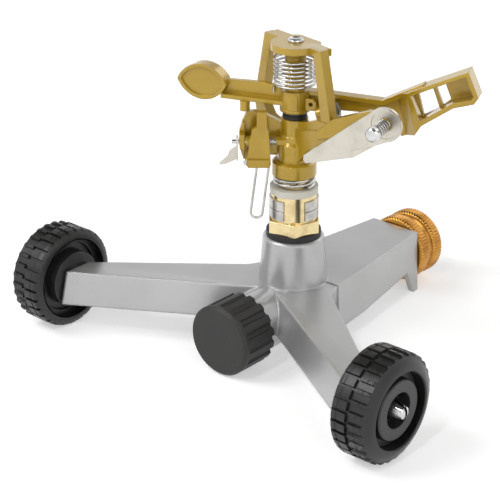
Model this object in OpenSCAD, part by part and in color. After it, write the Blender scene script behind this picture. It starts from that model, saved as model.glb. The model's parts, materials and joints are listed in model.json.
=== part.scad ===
// Impact sprinkler on a wheeled three-legged base.
// The riser stands on the Z axis of riser_y, the wheel axle runs along X, the hose enters from +Y
// and the capped outlet points to -Y. The floor is z = 0.

/* [Wheels] */
// Outside diameter of a wheel
wheel_d = 47; // [42:1:54]
// Width of a wheel
wheel_w = 19; // [16:0.5:24]
// Distance between the inner faces of the two wheels
track_in = 168; // [150:1:196]
// How far the axles lie in front of the riser
axle_y = 57; // [50:1:66]
// Bore of the tyre on the outer side of the wheel
tyre_bore = 33; // [31:0.5:35]
// Diameter of the hub drum inside the dark groove
drum_d = 26.2; // [23:0.2:28]
// Diameter of the recess round the axle tip
hub_recess_d = 15.2; // [13:0.2:17]
// Diameter of the axle journal
journal_d = 7.8; // [6:0.2:9]
// Diameter of the axle shank that is pressed into the leg
shank_d = 6; // [5:0.2:7]

/* [Base casting] */
// Height of the flat top of the legs
leg_top = 30; // [27:0.5:34]
// Depth of the front legs
leg_depth = 15; // [14:0.5:18]
// Half width of a front leg at the wheel, at its top
leg_tip_half = 5.4; // [5:0.1:7]
// Half width of a front leg at the riser, at its top
leg_root_half = 12.6; // [10:0.2:15]
// How far the legs flare outwards from top to bottom
leg_flare = 3.4; // [1:0.2:5]
// Wall of the hollow legs
leg_wall = 2.6; // [2:0.1:3.5]
// Length of the rear leg from the riser to its end face
rear_len = 78; // [68:1:90]
// Half width of the rear leg at its end
rear_tip_half = 13.1; // [12.6:0.1:16]
// Half width of the rear leg at the riser
rear_root_half = 21.5; // [18:0.5:25]
// Height of the lower edge of the rear leg
rear_skirt_z = 9.5; // [7:0.5:12]
// Height of the top of the riser hub
hub_top = 51.7; // [46:0.5:58]
// Radius of the riser hub where it leaves the legs
hub_root_r = 15.6; // [14.5:0.1:18]
// Radius of the riser hub at its top
hub_top_r = 13.6; // [13:0.1:15]

/* [Water pipe] */
// Height of the centre of the pipe that runs from inlet to outlet
pipe_z = 16.8; // [16.4:0.1:19]
// Outside radius of the pipe inside the rear leg
pipe_r = 11.6; // [11:0.1:12.4]
// Bore radius of the pipe
pipe_bore_r = 8; // [6:0.5:8.5]
// Radius of the outlet boss behind the thread
boss_r = 13.5; // [13.3:0.1:14.5]
// Outside radius of the outlet's male hose thread
outlet_r = 13.1; // [12.8:0.1:13.2]
// Outside radius of the black outlet cap
cap_r = 16.2; // [15.8:0.1:16.3]
// Length of the outlet cap
cap_len = 19; // [17:0.5:22]
// Number of finger flutes round the cap
cap_flutes = 16; // [10:1:20]
// Outside radius of the inlet coupling
coupling_r = 16.2; // [15.8:0.1:16.4]
// Length of the inlet coupling
coupling_len = 17; // [15:0.5:20]
// Radius of the female hose thread in the coupling
hose_thread_r = 13.2; // [12.9:0.1:13.4]
// Outside radius of the tailpiece that the coupling turns on
tailpiece_r = 9.5; // [9.2:0.1:10]

/* [Riser] */
// Size across the flats of the brass hexagon
hex_flats = 22; // [21:0.5:24]
// Height of the hexagon
hex_h = 5.8; // [4.5:0.1:7]
// Radius of the brass barrel that carries the collars
barrel_r = 10.3; // [10:0.1:10.5]
// Height of the barrel above the hexagon
barrel_h = 12; // [11:0.5:14]
// Thickness of the rubber gasket under the hexagon
gasket_h = 2.7; // [1.5:0.1:3.5]
// Thickness of a trip collar
collar_t = 0.7; // [0.5:0.05:0.9]
// Height of a trip collar
collar_h = 4.3; // [3:0.1:4.8]
// Angle of the opening in a collar
collar_gap = 52; // [30:1:80]
// Reach of a collar's stop tab from the riser's axis
tab_reach = 17.5; // [16.5:0.1:19]
// Outside radius of the rotating nipple
nipple_r = 6.8; // [6.2:0.1:7]
// Thickness of the pale bearing washer
bearing_washer_h = 2.9; // [1.5:0.1:3.5]
// Height taken by the bearing spring
bearing_spring_h = 5.5; // [5:0.1:7]

/* [Head] */
// Direction of the water jet, counter-clockwise from +X, at rest
head_turn = 21; // [0:1:60]
// Radius of the skirt of the sprinkler body
skirt_r = 9.9; // [9.4:0.1:10.2]
// Height of the skirt
skirt_h = 6.7; // [5:0.1:8]
// Radius of the body above the skirt
shoulder_r = 7.6; // [7.4:0.1:8.2]
// Radius of the top of the body
neck_r = 6; // [5.6:0.1:6.6]
// Height of the top of the body above its skirt's lower rim
body_h = 26; // [25.4:0.1:27]
// Turn of the bridge from the jet
bridge_turn = -32; // [-40:1:-26]
// Thickness of the bridge's legs and top bar
bridge_t = 4.4; // [3.6:0.1:5.4]
// Height of the top of the bridge above the top of the body
bridge_rise = 34.4; // [33:0.1:38]
// Radius of the round top plate
plate_r = 10.8; // [9.5:0.1:12]
// Radius of the fulcrum pin
pin_r = 2; // [1.6:0.1:2.4]
// Upward tilt of the nozzle
nozzle_tilt = 20; // [15:1:25]
// Outside radius of the nozzle boss
nozzle_boss_r = 3.9; // [3.6:0.1:4.1]
// Bore radius of the nozzle
nozzle_bore_r = 1.9; // [1.2:0.1:2.4]

/* [Impact arm] */
// Turn of the arm from the jet at rest
arm_turn = 2; // [0:1:5]
// Radius of the arm's hub
arm_hub_r = 6.2; // [5.8:0.1:6.8]
// Reach of the spoon from the pin's axis
spoon_reach = 80.2; // [76:0.2:88]
// Reach of the leaf counterweight from the pin's axis
leaf_reach = 53.4; // [50:0.2:58]
// Thickness of the leaf counterweight
leaf_t = 6; // [4:0.2:8]
// Thickness of the walls of the spoon
spoon_wall = 1.7; // [1.3:0.1:2.2]
// Wire diameter of the arm spring
arm_wire_d = 1.1; // [0.8:0.05:1.3]
// Mean radius of the arm spring
arm_coil_r = 9.1; // [8.6:0.1:9.6]
// Turns of the arm spring
arm_coil_turns = 7; // [5:1:9]

/* [Deflector] */
// Turn of the deflector plate from the jet
deflector_turn = -7; // [-9:1:-5]
// Distance of the middle of the plate from the riser's axis
deflector_off = 14.5; // [14:0.1:16]
// Thickness of the plate
deflector_t = 1; // [0.8:0.1:1.4]
// Radius of the round end of the plate
deflector_end_r = 7.5; // [6.5:0.1:8.5]
// Radius of the pivot boss in the plate's hole
pivot_boss_r = 2.9; // [2.6:0.1:3.2]
// Radius of the diffuser screw
screw_r = 1.5; // [1.2:0.1:1.8]
// Radius of the diffuser screw's head
screw_head_r = 3.05; // [2.6:0.05:3.4]
// Length of the spring under the screw's head
screw_spring_len = 11.2; // [9.5:0.1:13]

/* [Trip] */
// Distance of the trip pin from the riser's axis
trip_off = 3; // [2.6:0.1:3.4]
// Height of the trip pin
trip_z = 96.6; // [96:0.1:97.4]
// Radius of the trip pin
trip_pin_r = 0.9; // [0.7:0.05:1]
// Thickness of the trip paddle
paddle_t = 2.8; // [2:0.1:3.2]
// Wire diameter of the trip wire
trip_wire_d = 1.1; // [0.8:0.05:1.2]

/* [Hidden] */
$fn = 64;

// Colours
casting_grey = "#a9acad";
gold_paint = "#b9962f";
black_plastic = "#373533";
brass = "#c9a45a";
orange_brass = "#d18f35";
steel = "#c9c6c0";
rubber = "#1c1b1a";
pale_plastic = "#d9d5c8";

// Clearances
fit = 0.05;        // thread or press fit, on the radius
run = 0.08;        // running fit, on the radius
face = 0.05;       // between flat faces that meet
clear = 0.3;       // between a moving and a still surface
cut = 1;           // how far a cutting shape runs past a face

// Overall layout
wheel_r = wheel_d / 2;
inlet_end = rear_len + 1 + coupling_len;
riser_y = -(inlet_end - axle_y - wheel_r) / 2;
wheel_mid_x = track_in / 2 + wheel_w / 2;
camera_side = -49;          // the side that the openings of the collars face

// Front legs
leg_angle = atan2(axle_y + 0.6, track_in / 2 - 2);
leg_end_x = track_in / 2 - 2.6;
leg_len = leg_end_x / cos(leg_angle) + 6;
leg_root_x = 6;
shank_len = 7;
axle_washer_h = 1;
gusset_r = 25;
gusset_step = 0.3;          // how far the web lies inside the legs' height
gusset_rear_x = rear_root_half - 0.9;
gusset_rear_y = 14;
gusset_front_x = gusset_rear_x + 13.4;
gusset_front_y = 10.5;
drum_inset = 1.4;           // how far the hub's ends lie inside the wheel's faces
drum_inner_x = track_in / 2 - drum_inset;

// Outlet
boss_y = -31.4;
outlet_end = -46.1;
cap_wall = 2.6;
cap_back = boss_y - 0.6;
cap_front = cap_back - cap_len;
seal_h = 2.1;
flute_r = 1.7;
flute_stop = 2.8;

// Inlet
tail_in = 16;
coupling_y = rear_len + 1;
coupling_back_wall = 2.8;
tail_flange_r = 12.6;
tail_flange_h = 2.2;
hose_washer_h = 3;
hose_thread_len = 8.8;
thread_start = inlet_end - hose_thread_len;
band_w = 6.8;
band_groove_r = coupling_r - 1.4;

// Riser stack
sleeve_r = 10;
sleeve_depth = 17.5;
hex_z = hub_top + gasket_h + face;
hex_r = hex_flats / 2 / cos(30);
barrel_z = hex_z + hex_h;
barrel_top = barrel_z + barrel_h;
sleeve_bottom = hub_top - sleeve_depth;
washer_z = barrel_top + face;
spring_z = washer_z + bearing_washer_h + face;
skirt_z = spring_z + bearing_spring_h;
collar_z = barrel_z + 1;
collar_step = collar_h + 0.4;
nipple_flange_r = 8.6;
nipple_flange_h = 2.2;
seal_washer_h = 1.7;
bearing_coil_r = 8.8;
bearing_wire_r = 0.75;

// Sprinkler body
shoulder_z = skirt_z + skirt_h;
neck_z = shoulder_z + 9.2;
body_top = skirt_z + body_h;
bridge_top = body_top + bridge_rise;
plate_t = 3;
leg_top_in = 13.7;          // inner edge of a bridge leg at the top
leg_top_out = 18.6;
leg_foot_in = 20.6;
leg_foot_out = 27;
leg_foot_z = body_top + 0.6;
pivot_tube_r = 4.6;         // tube under the top plate
pivot_tube_z = bridge_top - plate_t - 6.8;
nozzle_tip = [19.2, -2.6, body_top + 6.1];
nozzle_boss_len = 8;
insert_r = 2.9;

// Impact arm stack
seat_washer_h = 1.7;
slip_washer_h = 1.6;
arm_z = body_top + face + seat_washer_h + face + slip_washer_h + face;
arm_hub_h = 9.4;
arm_sleeve_r = 4.4;
beam_z = arm_z + 2.9;       // underside of the left beam
beam_top = beam_z + 8.4;
spoon_near = 4;             // how far the spoon's near edge stands in front of the pin's axis
spoon_web_y = 1.9;          // front of the arm's thin back web
spoon_web_t = 2.4;
coil_z = arm_z + 12.2;
spring_lug_turn = 220;
spring_end_turn = spring_lug_turn - 16;
coil_top = pivot_tube_z + 3.6;

// Deflector
strip_t = 3;
strip_y = -(deflector_off - deflector_t / 2 - 0.2);
hole_x = 48.2;
hole_z = body_top + 9.2;
pivot_boss_y = strip_y - deflector_t - 0.6;
screw_head_h = 2.4;
screw_washer_h = 0.5;
screw_tip = 7.5;            // how far the screw reaches behind the strip

// Trip group, radial distance grows along its own x
paddle_y = trip_off + 1.6;
wire_y = paddle_y + paddle_t / 2;
cheek_x = 21.8;
cheek_t = 2.5;
trip_pin_in = 5.6;
trip_pin_out = 27.4;
wire_low = collar_z + 0.6;
wire_top_z = trip_z - 8.4;
lever_foot_z = trip_z - 10.6;
lever_top_z = beam_z - 1.6;
wire_top_x = 11.4;
wire_gap = 5.2;
wire_lean = 2.6;
bracket_top = arm_z - 1.6;
camera_turn = 200;          // turn of the trip group from the jet

module at_riser() translate([0, riser_y, 0]) children();
module in_head() at_riser() rotate([0, 0, head_turn]) children();
module in_bridge() rotate([0, 0, bridge_turn]) children();
module in_arm() in_head() rotate([0, 0, arm_turn]) children();
module in_deflector() in_head() rotate([0, 0, deflector_turn]) children();
module in_trip() in_head() rotate([0, 0, camera_turn]) children();
// A flat outline drawn in x and z, given a thickness centred on y.
module upright(thickness, y = 0) translate([0, y, 0]) rotate([90, 0, 0])
  linear_extrude(thickness, center = true) children();
// A cylinder along +X from x0 to x1.
module rod_x(r, x0, x1) translate([x0, 0, 0]) rotate([0, 90, 0]) cylinder(r = r, h = x1 - x0);
// A cylinder along +Y from y0 to y1.
module rod_y(r, y0, y1) translate([0, y0, 0]) rotate([-90, 0, 0]) cylinder(r = r, h = y1 - y0);
module ring(r_out, r_in, h) difference() {
  cylinder(r = r_out, h = h);
  translate([0, 0, -cut]) cylinder(r = r_in, h = h + 2 * cut);
}

// Points of a coil of the given mean radius, rising by h over a number of turns.
function coil(r, z, h, turns, steps, start = 0) = [
  for (i = [0 : turns * steps])
    let (a = start + 360 * i / steps) [r * cos(a), r * sin(a), z + h * i / (turns * steps)]
];
function unit(v) = v / norm(v);
function tangent(p, i) = unit(p[min(i + 1, len(p) - 1)] - p[max(i - 1, 0)]);
// A direction square to d that stays as near as it can to the guide.
function across(d, guide) = unit(guide - (guide * d) * d);
// A round wire swept along points, with a fixed guide direction that the wire never runs along.
module wire(points, r, sides = 8, guide = [0, 0, 1]) {
  n = len(points);
  rings = [
    for (i = [0 : n - 1])
      let (d = tangent(points, i), u = across(d, guide), w = cross(d, u))
        for (s = [0 : sides - 1])
          points[i] + r * (cos(360 * s / sides) * u + sin(360 * s / sides) * w)
  ];
  walls = [
    for (i = [0 : n - 2])
      for (s = [0 : sides - 1])
        let (t = (s + 1) % sides)
          [i * sides + t, i * sides + s, (i + 1) * sides + s, (i + 1) * sides + t]
  ];
  first = [for (s = [0 : sides - 1]) s];
  last = [for (s = [0 : sides - 1]) (n - 1) * sides + sides - 1 - s];
  polyhedron(points = rings, faces = concat(walls, [first], [last]), convexity = 8);
}

// ---- Base ----

// One leg, from its root to its tip along +X, as a block with flared sides.
module leg_block(root_half, tip_half, x0, x1, z0, z1, flare) hull() {
  translate([0, 0, z1 - 0.01]) linear_extrude(0.01)
    polygon([[x0, -root_half], [x1, -tip_half], [x1, tip_half], [x0, root_half]]);
  translate([0, 0, z0]) linear_extrude(0.01)
    polygon([[x0, -root_half - flare], [x1, -tip_half - flare],
             [x1, tip_half + flare], [x0, root_half + flare]]);
}

module front_leg() difference() {
  intersection() {
    rotate([0, 0, -leg_angle])
      leg_block(leg_root_half, leg_tip_half, leg_root_x, leg_len, leg_top - leg_depth, leg_top,
                leg_flare);
    translate([0, -2 * axle_y, 0]) cube([leg_end_x, 3 * axle_y, 2 * leg_top]);
  }
  intersection() {
    rotate([0, 0, -leg_angle])
      leg_block(leg_root_half - leg_wall, leg_tip_half - leg_wall + 0.4, hub_root_r + 4, leg_len,
                leg_top - leg_depth - cut, leg_top - leg_wall, leg_flare);
    translate([0, -2 * axle_y, 0]) cube([leg_end_x - shank_len - leg_wall, 3 * axle_y, 2 * leg_top]);
  }
}

module rear_leg() difference() {
  intersection() {
    rotate([0, 0, 90])
      leg_block(rear_root_half, rear_tip_half, leg_root_x, rear_len, 0, leg_top, 1.6);
    // side view: flat top, long skirt, and a foot at the end
    rotate([90, 0, 90]) linear_extrude(4 * rear_root_half, center = true)
      polygon([[0, leg_top], [rear_len, leg_top], [rear_len, 0], [rear_len - 4, 0],
               [rear_len - 10, rear_skirt_z + 2.6], [rear_len - 18, rear_skirt_z + 2],
               [28, rear_skirt_z - 1], [0, rear_skirt_z - 1]]);
  }
  rotate([0, 0, 90])
    leg_block(rear_root_half - leg_wall, rear_tip_half - leg_wall, hub_root_r + 4,
              rear_len - leg_wall, -cut, leg_top - leg_wall, 1.6);
  // the end wall is open below the pipe, so that only its two corners reach the floor
  translate([-rear_tip_half + 2.2, rear_len - leg_wall - cut, -cut])
    cube([2 * rear_tip_half - 4.4, leg_wall + 2 * cut, pipe_z - pipe_r + 2 + cut]);
}

module riser_hub() rotate_extrude() polygon([
  [0, pipe_z - pipe_r], [hub_root_r, pipe_z - pipe_r], [hub_root_r, leg_top],
  [hub_top_r + 0.2, hub_top - 0.8], [hub_top_r - 0.6, hub_top], [0, hub_top]]);

module base_casting() color(casting_grey) at_riser() difference() {
  union() {
    front_leg();
    mirror([1, 0, 0]) front_leg();
    rear_leg();
    riser_hub();
    translate([0, 0, pipe_z]) rod_y(pipe_r, 0, rear_len);
    translate([0, 0, pipe_z]) rod_y(boss_r, boss_y, 0);
    translate([0, 0, pipe_z]) rod_y(outlet_r, outlet_end, boss_y + cut);
    for (side = [-1, 1]) gusset(side);
  }
  // way through for the water
  translate([0, 0, pipe_z]) rod_y(pipe_bore_r, outlet_end - cut, rear_len + cut);
  // seat of the inlet tailpiece
  translate([0, 0, pipe_z]) rod_y(tailpiece_r + fit, rear_len - tail_in, rear_len + cut);
  // threaded socket for the bearing sleeve
  translate([0, 0, pipe_z]) cylinder(r = sleeve_r + fit, h = hub_top - pipe_z + cut);
  // holes for the axle pins
  for (side = [-1, 1]) axle_hole(side);
}

module on_axle(side) translate([0, -axle_y, wheel_r]) mirror([side < 0 ? 1 : 0, 0, 0]) children();
// Curved web in the corner between a front leg and the rear leg.
module gusset(side) mirror([side < 0 ? 1 : 0, 0, 0]) translate([0, 0, leg_top - leg_depth + gusset_step])
  linear_extrude(leg_depth - 2 * gusset_step) difference() {
    polygon([[6, 6], [gusset_rear_x, gusset_rear_y], [gusset_front_x, -gusset_front_y], [18, -12]]);
    translate([gusset_rear_x + 24.9, gusset_rear_y - 2.3]) circle(r = gusset_r);
  }
module axle_hole(side) on_axle(side)
  rod_x(shank_d / 2 + fit, leg_end_x - shank_len - fit, leg_end_x + cut);

// The wheels turn about X; their profiles are drawn as radius and distance along the axle.
module about_axle(side) at_riser() on_axle(side) rotate([0, 90, 0]) children();

module tyre(side) color(black_plastic) about_axle(side) {
  x0 = track_in / 2;
  x1 = x0 + wheel_w;
  lip_r = tyre_bore / 2 + 2.6;
  seat_r = tyre_bore / 2;
  tread_r = wheel_r - 0.9;
  difference() {
    rotate_extrude($fn = 96) polygon([
      [lip_r, x0], [wheel_r - 1.6, x0], [wheel_r, x0 + 1.4],
      [wheel_r, x0 + wheel_w * 0.42], [tread_r, x0 + wheel_w * 0.45], [tread_r, x0 + wheel_w * 0.5],
      [wheel_r, x0 + wheel_w * 0.53], [wheel_r, x1 - 4.6], [wheel_r - 0.9, x1 - 2.4],
      [wheel_r - 2.8, x1 - 0.7], [wheel_r - 4.6, x1], [seat_r + 0.6, x1], [seat_r, x1 - 0.6],
      [seat_r, x0 + 4.6], [lip_r, x0 + 4]]);
    // a few cross grooves in the tread
    for (i = [0 : 9]) rotate([0, 0, 36 * i])
      translate([tread_r + 0.2, -0.7, x0 - cut]) cube([2, 1.4, wheel_w * 0.42 + cut]);
  }
}
module left_tyre() tyre(-1);
module right_tyre() tyre(1);

module wheel_hub(side) color(black_plastic) about_axle(side) {
  x0 = drum_inner_x;
  x1 = track_in / 2 + wheel_w - drum_inset;
  web0 = track_in / 2 + 5.5;
  web1 = track_in / 2 + wheel_w - 5;
  rim_r = tyre_bore / 2 - fit;
  bore_r = journal_d / 2 + run;
  rotate_extrude($fn = 96) polygon([
    [bore_r, x0 + 3], [hub_recess_d / 2 - 1.6, x0 + 3], [hub_recess_d / 2 - 1.6, x0],
    [drum_d / 2, x0], [drum_d / 2, web0],
    [rim_r, web0], [rim_r, web1], [drum_d / 2, web1], [drum_d / 2, x1 - 0.6],
    [drum_d / 2 - 0.6, x1], [hub_recess_d / 2, x1], [hub_recess_d / 2, x1 - 6], [bore_r, x1 - 6]]);
}
module left_wheel_hub() wheel_hub(-1);
module right_wheel_hub() wheel_hub(1);

module axle_pin(side) color(steel) about_axle(side) {
  barb_x = track_in / 2 + wheel_w - drum_inset - 6 + clear;
  difference() {
    rotate_extrude() polygon([
      [0, leg_end_x - shank_len], [shank_d / 2, leg_end_x - shank_len], [shank_d / 2, leg_end_x],
      [journal_d / 2, leg_end_x + face], [journal_d / 2, barb_x], [journal_d / 2 + 1, barb_x],
      [journal_d / 2 + 1, barb_x + 1.4], [2.6, barb_x + 8.6], [1.2, barb_x + 9.4], [0, barb_x + 9.4]]);
    translate([-wheel_r, -0.7, barb_x - 6]) cube([2 * wheel_r, 1.4, 20]);
  }
}
module left_axle_pin() axle_pin(-1);
module right_axle_pin() axle_pin(1);

module axle_washer(side) color(steel) about_axle(side)
  translate([0, 0, leg_end_x + face])
    ring(6.4, journal_d / 2 + run, axle_washer_h);
module left_axle_washer() axle_washer(-1);
module right_axle_washer() axle_washer(1);

// ---- Outlet and inlet ----

module outlet_cap() color(black_plastic) at_riser() translate([0, 0, pipe_z]) difference() {
  rotate([90, 0, 0]) rotate_extrude($fn = 96) polygon([
    [0, -cap_front], [cap_r - 1.3, -cap_front], [cap_r, -cap_front - 1.3], [cap_r, -cap_back],
    [outlet_r + fit + 0.05, -cap_back], [outlet_r + fit + 0.05, -cap_front - cap_wall],
    [0, -cap_front - cap_wall]]);
  for (i = [0 : cap_flutes - 1]) rotate([0, 360 * i / cap_flutes, 0])
    translate([cap_r + 0.5, 0, 0]) rod_y(flute_r, cap_front + flute_stop, cap_back + cut);
}

module outlet_seal() color(rubber) at_riser() translate([0, outlet_end - face, pipe_z])
  rotate([90, 0, 0]) ring(outlet_r - 0.3, pipe_bore_r, seal_h);

module inlet_tailpiece() color(brass) at_riser() translate([0, 0, pipe_z]) rotate([-90, 0, 0])
  difference() {
    rotate_extrude() polygon([
      [0, rear_len - tail_in], [tailpiece_r, rear_len - tail_in],
      [tailpiece_r, coupling_y + coupling_back_wall + run],
      [tail_flange_r, coupling_y + coupling_back_wall + run],
      [tail_flange_r, coupling_y + coupling_back_wall + run + tail_flange_h],
      [0, coupling_y + coupling_back_wall + run + tail_flange_h]]);
    translate([0, 0, rear_len - tail_in - cut]) cylinder(r = pipe_bore_r, h = 3 * tail_in);
  }

module inlet_coupling() color(orange_brass) at_riser() translate([0, 0, pipe_z])
  rotate([-90, 0, 0]) rotate_extrude($fn = 96) polygon([
    [tailpiece_r + run, coupling_y], [coupling_r - 0.8, coupling_y], [coupling_r, coupling_y + 0.8],
    [coupling_r, coupling_y + band_w], [band_groove_r, coupling_y + band_w + 0.6],
    [band_groove_r, inlet_end - band_w - 0.6], [coupling_r, inlet_end - band_w],
    [coupling_r, inlet_end - 0.8], [coupling_r - 0.8, inlet_end], [hose_thread_r, inlet_end],
    [hose_thread_r, thread_start], [hose_thread_r + 0.5, thread_start],
    [hose_thread_r + 0.5, coupling_y + coupling_back_wall],
    [tailpiece_r + run, coupling_y + coupling_back_wall]]);

module hose_washer() color(rubber) at_riser() translate([0,
    coupling_y + coupling_back_wall + run + tail_flange_h + face, pipe_z])
  rotate([-90, 0, 0]) ring(hose_thread_r - 0.1, pipe_bore_r, hose_washer_h);

// ---- Riser ----

module base_gasket() color(rubber) at_riser() translate([0, 0, hub_top])
  ring(hub_top_r - 1.3, sleeve_r + run, gasket_h);

module bearing_sleeve() color(brass) at_riser() difference() {
  union() {
    translate([0, 0, sleeve_bottom]) cylinder(r = sleeve_r, h = hex_z - sleeve_bottom + cut);
    translate([0, 0, hex_z]) rotate([0, 0, camera_side]) cylinder(r = hex_r, h = hex_h, $fn = 6);
    translate([0, 0, barrel_z - cut]) cylinder(r = barrel_r, h = barrel_h + cut);
  }
  translate([0, 0, sleeve_bottom - cut])
    cylinder(r = nipple_r + run, h = barrel_top - sleeve_bottom + 2 * cut);
}

// An open steel ring round the barrel, with a stop tab that stands out at tab_angle.
module trip_collar(z, tab_angle) color(steel) at_riser() translate([0, 0, z]) {
  in_r = barrel_r + fit;
  out_r = in_r + collar_t;
  rotate([0, 0, camera_side + collar_gap / 2]) rotate_extrude(angle = 360 - collar_gap)
    translate([in_r, 0]) square([collar_t, collar_h]);
  rotate([0, 0, tab_angle]) translate([out_r - collar_t / 2, -collar_t / 2, 0])
    cube([tab_reach - out_r + collar_t / 2, collar_t, collar_h]);
}
module lower_trip_collar() trip_collar(collar_z, 160);
module upper_trip_collar() trip_collar(collar_z + collar_step, 98);

module bearing_nipple() color(brass) at_riser() difference() {
  z0 = sleeve_bottom - face - seal_washer_h - face - nipple_flange_h;
  union() {
    translate([0, 0, z0]) cylinder(r = nipple_r, h = skirt_z + skirt_h + 3 - z0);
    translate([0, 0, z0]) cylinder(r = nipple_flange_r, h = nipple_flange_h);
  }
  translate([0, 0, z0 - cut]) cylinder(r = nipple_r - 2, h = 80);
}

module nipple_seal_washer() color(pale_plastic) at_riser()
  translate([0, 0, sleeve_bottom - face - seal_washer_h])
    ring(nipple_flange_r, nipple_r + run, seal_washer_h);

module bearing_washer() color(pale_plastic) at_riser() translate([0, 0, washer_z])
  ring(barrel_r + 0.5, nipple_r + run, bearing_washer_h);

module bearing_spring() color(steel) at_riser()
  wire(coil(bearing_coil_r, spring_z + bearing_wire_r + face,
            bearing_spring_h - 2 * (bearing_wire_r + face), 2, 28, camera_side + 40),
       bearing_wire_r, 8);

// ---- Sprinkler body ----

module body_barrel() rotate_extrude() polygon([
  [0, skirt_z], [skirt_r, skirt_z], [skirt_r, shoulder_z - 0.8], [skirt_r - 1, shoulder_z],
  [shoulder_r, shoulder_z], [shoulder_r, neck_z - 1.4], [neck_r + 0.4, neck_z],
  [neck_r + 0.4, neck_z + 2.2], [neck_r, neck_z + 2.8], [neck_r, body_top], [0, body_top]]);

// The water way and web that carries the front post of the bridge.
module nozzle_web() {
  in_bridge() upright(7.6) polygon([
    [0, neck_z - 3], [0, body_top - 4], [8, body_top - 3], [17, body_top - 0.4],
    [24, body_top + 0.6], [24, body_top - 4], [13, neck_z - 1], [7, neck_z - 8], [0, neck_z - 8]]);
  in_bridge() upright(5.6) polygon([
    [4, body_top - 4], [4, body_top - 0.3], [9, body_top + 0.8], [17.5, body_top + 4],
    [26.6, body_top + 4.6], [26.6, body_top - 1]]);
}

module nozzle_boss() translate(nozzle_tip) rotate([0, -nozzle_tilt, 0])
  rod_x(nozzle_boss_r, -nozzle_boss_len, 0);

module bridge() {
  in_bridge() upright(bridge_t) polygon([
    [leg_top_in, bridge_top], [leg_top_out, bridge_top], [leg_foot_out, leg_foot_z],
    [leg_foot_in, leg_foot_z]]);
  in_bridge() upright(bridge_t) polygon([
    [-leg_top_in, bridge_top], [-leg_top_out, bridge_top], [-25.4, body_top + 3],
    [-24, body_top - 4], [-17, body_top - 10], [-5, body_top - 15], [-5, body_top - 6],
    [-15.5, body_top - 3], [-20, body_top + 3]]);
  // top bar and round plate
  translate([0, 0, bridge_top - plate_t]) intersection() {
    union() {
      rotate([0, 0, -70]) translate([1.6, 0, 0]) cylinder(r = plate_r, h = plate_t);
      in_bridge() translate([-leg_top_out + 0.6, -bridge_t / 2, 0])
        cube([2 * leg_top_out - 1.2, bridge_t + 2.4, plate_t]);
    }
    in_bridge() translate([-leg_top_out, -plate_r - 4, 0])
      cube([2 * leg_top_out, plate_r + 4 + 7.4, plate_t]);
  }
  translate([0, 0, pivot_tube_z]) cylinder(r = pivot_tube_r, h = bridge_top - pivot_tube_z);
  // lug that holds the upper end of the arm spring
  rotate([0, 0, spring_lug_turn]) translate([arm_coil_r - 0.6, 0, coil_top + arm_wire_d + 0.2])
    cylinder(r = 1, h = bridge_top - plate_t - coil_top - arm_wire_d - 0.2 + cut);
}

// The strip that carries the deflector's pivot, with the boss that the screw runs in.
module deflector_strip() rotate([0, 0, deflector_turn]) {
  translate([0, strip_y + strip_t / 2, 0]) upright(strip_t) polygon([
    [16.5, body_top + 0.4], [24, body_top + 7.2], [hole_x - 8, hole_z + 4.2], [hole_x, hole_z + 4.6],
    [hole_x + 4, hole_z + 2], [hole_x + 4, hole_z - 2.6], [hole_x, hole_z - 4.6],
    [hole_x - 6, hole_z - 4.4], [24, body_top - 1], [16.5, body_top - 3]]);
  translate([hole_x, 0, hole_z]) rod_y(pivot_boss_r, pivot_boss_y, strip_y + cut);
  translate([hole_x, 0, hole_z]) rod_y(pivot_boss_r + 1, strip_y, strip_y + strip_t + 2);
}

// The bracket behind the trip paddle, its outer cheek and the inner boss, both bored for the pin.
module trip_bracket() rotate([0, 0, camera_turn]) {
  upright(3.2, -3.4) polygon([
    [4, shoulder_z + 1], [4, body_top - 4], [12, bracket_top - 1.6], [17, bracket_top],
    [21, bracket_top], [23.2, trip_z + 7], [24.1, trip_z + 2], [24, trip_z - 3.4],
    [22.6, trip_z - 8.4], [20.9, trip_z - 12], [17, trip_z - 12], [13, trip_z - 8]]);
  intersection() {
    upright(9.4, -0.3) polygon([
      [cheek_x, trip_z - 9], [22.4, trip_z - 9], [23.6, trip_z - 5], [24.3, trip_z],
      [24.2, trip_z + 4], [23, trip_z + 7.6], [cheek_x, trip_z + 7.6]]);
    union() {
      translate([0, trip_off, trip_z]) rod_x(3.6, 20, 26);
      translate([20, -6, trip_z - 12]) cube([6, 6.6, 24]);
    }
  }
  translate([0, trip_off, trip_z]) rod_x(2.1, 3, 8.2);
}

module water_ways() {
  translate([0, 0, skirt_z - cut]) cylinder(r = nipple_r + fit, h = skirt_h + 4.2 + cut);
  translate([0, 0, skirt_z]) cylinder(r = 4.3, h = neck_z + 3 - skirt_z);
  in_bridge() translate([0, 0, neck_z]) rotate([0, -27, 0]) rod_x(2.5, 0, 15.5);
  translate([11.6, -7, neck_z + 7]) rotate([-31, 8, 0]) cylinder(r = 1.8, h = 8.4);
  translate(nozzle_tip) rotate([0, -nozzle_tilt, 0]) rod_x(insert_r + fit, -5.6, cut);
  translate(nozzle_tip) rotate([0, -nozzle_tilt, 0]) rod_x(nozzle_bore_r, -6.8, 0);
}

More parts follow.
